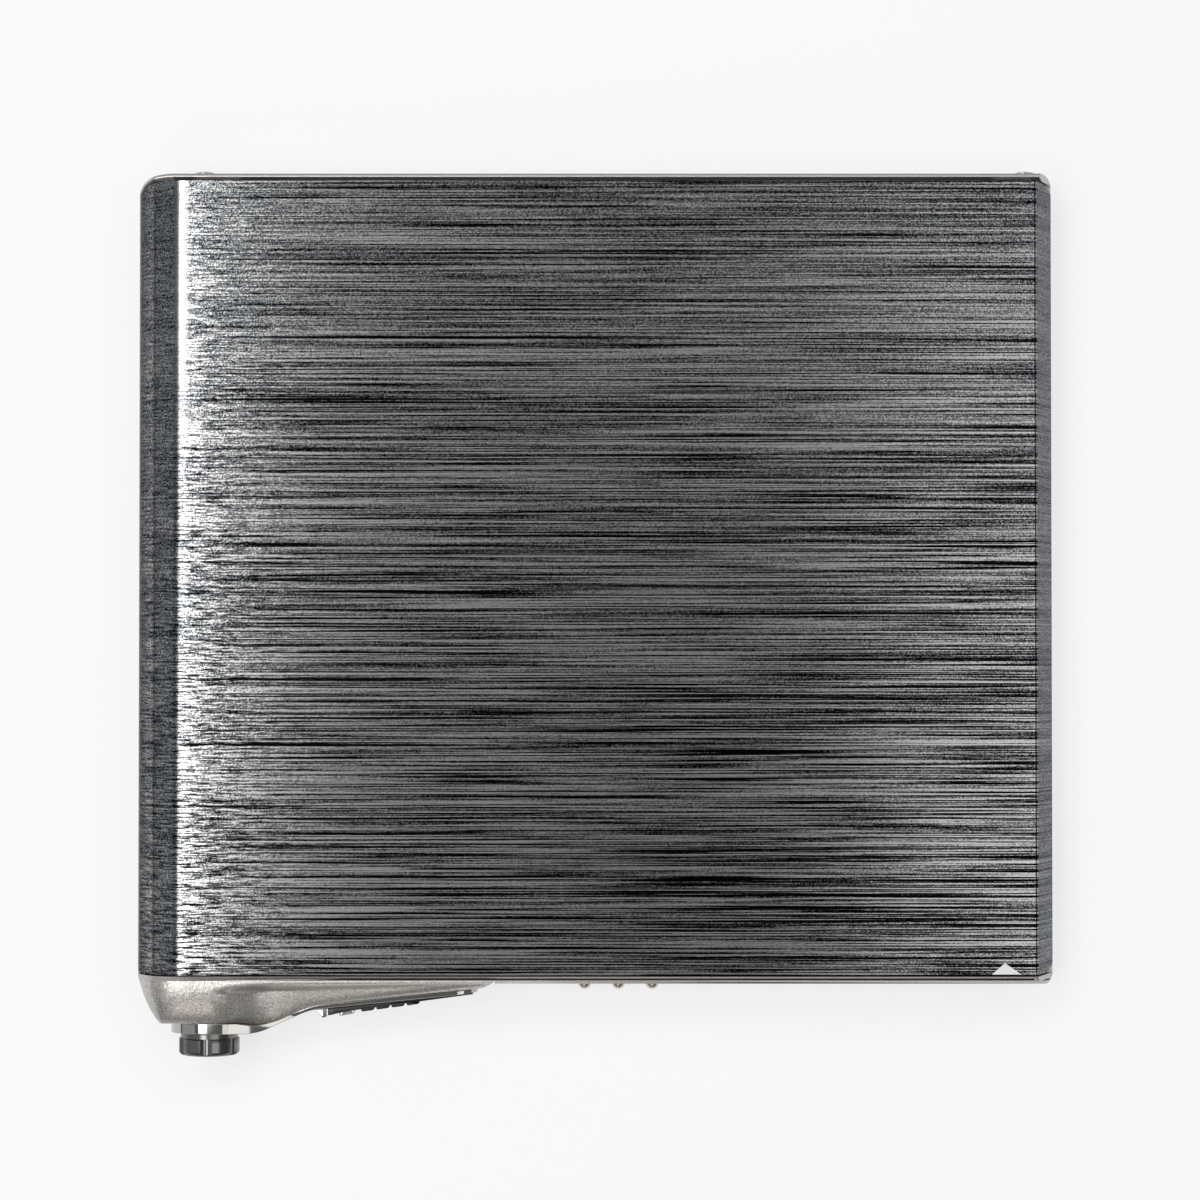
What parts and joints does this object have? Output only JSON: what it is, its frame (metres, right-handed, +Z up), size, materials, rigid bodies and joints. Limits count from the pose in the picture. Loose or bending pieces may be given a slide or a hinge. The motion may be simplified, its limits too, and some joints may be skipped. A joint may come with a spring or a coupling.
{
  "type": "portable minidisc player",
  "caption": "Slim portable minidisc player with a hinged brushed lid over a cartridge holder, a jog crown, an open slide, charging contacts and a headphone socket.",
  "frame": {"origin": "centre of the main body's bottom face", "axes": "+X to the right seen from above with the hinge at the rear, +Y to the rear hinge, +Z up through the lid"},
  "size_m": [0.0819, 0.0788, 0.0099],
  "materials": {
    "lid_metal": "brushed",
    "case_satin": "satin",
    "pod_satin": "satin",
    "plate_chrome": "polished",
    "crown_gunmetal": "polished",
    "slide_dark": "gloss",
    "bright_steel": "polished",
    "sheet_steel": "satin",
    "dark_steel": "satin",
    "gold_contact": "polished",
    "black_plastic": "matte",
    "pale_plastic": "matte",
    "damper_rubber": "matte",
    "motor_base": "satin",
    "magnet_dark": "matte",
    "sled_metal": "matte",
    "lens_glass": "clear",
    "board_green": "satin",
    "cell_foil": "satin"
  },
  "bodies": {
    "base": {"lower_case": "case_satin", "bottom_cover": "case_satin", "control_pod": "pod_satin", "face_plate": "plate_chrome", "crown_collar": "plate_chrome", "jog_switch": "black_plastic", "hinge_bracket_left": "sheet_steel", "hinge_bracket_right": "sheet_steel", "hinge_pins": "bright_steel", "hinge_screws": "bright_steel", "case_screws": "dark_steel", "charge_contacts": "gold_contact", "contact_block": "black_plastic", "headphone_jack": "black_plastic", "mech_chassis": "sheet_steel", "damper_grommets": "damper_rubber", "damper_screws": "bright_steel", "spindle_base": "motor_base", "guide_rods": "bright_steel", "rod_clips": "black_plastic", "sled_motor": "sheet_steel", "main_board": "board_green", "board_chips": "black_plastic", "battery_cell": "cell_foil", "battery_contacts": "gold_contact"},
    "lid": {"lid_panel": "lid_metal", "lid_hinge_strip": "sheet_steel", "lid_striker": "sheet_steel"},
    "holder": {"disc_holder": "sheet_steel", "holder_springs": "bright_steel", "shutter_opener": "black_plastic"},
    "plunger": {"jog_plunger": "black_plastic"},
    "crown": {"jog_crown": "crown_gunmetal", "crown_shaft": "bright_steel"},
    "slide": {"open_slide": "slide_dark", "slide_pip": "bright_steel", "latch_bar": "sheet_steel"},
    "hold": {"hold_slider": "black_plastic"},
    "spindle": {"spindle_rotor": "sheet_steel", "chuck_magnet": "magnet_dark"},
    "screw": {"lead_screw": "bright_steel"},
    "sled": {"pickup_sled": "sled_metal", "sled_nut": "pale_plastic"},
    "lens": {"lens_holder": "black_plastic", "objective_lens": "lens_glass"}
  },
  "joints": [
    {"name": "lid_hinge", "type": "hinge", "parent": "base", "child": "lid", "pos_m": [0, 0.03445, 0.0083], "axis": [-1, 0, 0], "range_deg": [0, 35]},
    {"name": "holder_hinge", "type": "hinge", "parent": "base", "child": "holder", "pos_m": [0, 0.03445, 0.0083], "axis": [-1, 0, 0], "range_deg": [0, 15.75]},
    {"name": "crown_press", "type": "slide", "parent": "base", "child": "plunger", "axis": [0, 1, 0], "range_m": [0, 0.0003], "stiffness_N_per_m": 200},
    {"name": "crown_turn", "type": "hinge", "parent": "plunger", "child": "crown", "pos_m": [-0.03458, -0.0419, 0.00495], "axis": [0, -1, 0], "range_deg": [-20, 20], "stiffness_Nm_per_rad": 0.002},
    {"name": "open_slide_travel", "type": "slide", "parent": "base", "child": "slide", "axis": [0.9951, 0.0993, 0], "range_m": [0, 0.0025], "stiffness_N_per_m": 100},
    {"name": "hold_travel", "type": "slide", "parent": "base", "child": "hold", "axis": [1, 0, 0], "range_m": [0, 0.0022]},
    {"name": "spindle_spin", "type": "hinge", "parent": "base", "child": "spindle", "pos_m": [0.00196, -0.00055, 0.0035], "axis": [0, 0, 1], "continuous": true},
    {"name": "sled_travel", "type": "slide", "parent": "base", "child": "sled", "axis": [1, 0, 0], "range_m": [0, 0.016]},
    {"name": "lead_screw_turn", "type": "hinge", "parent": "base", "child": "screw", "pos_m": [0.02, -0.01605, 0.00275], "axis": [1, 0, 0], "range_deg": [0, 2880]},
    {"name": "lens_focus", "type": "slide", "parent": "sled", "child": "lens", "axis": [0, 0, 1], "range_m": [-0.0003, 0.0003], "stiffness_N_per_m": 50}
  ],
  "couplings": [
    {"joint": "holder_hinge", "follows": "lid_hinge", "ratio": 0.45},
    {"joint": "lead_screw_turn", "follows": "sled_travel", "rad_per_m": 3141.6}
  ]
}
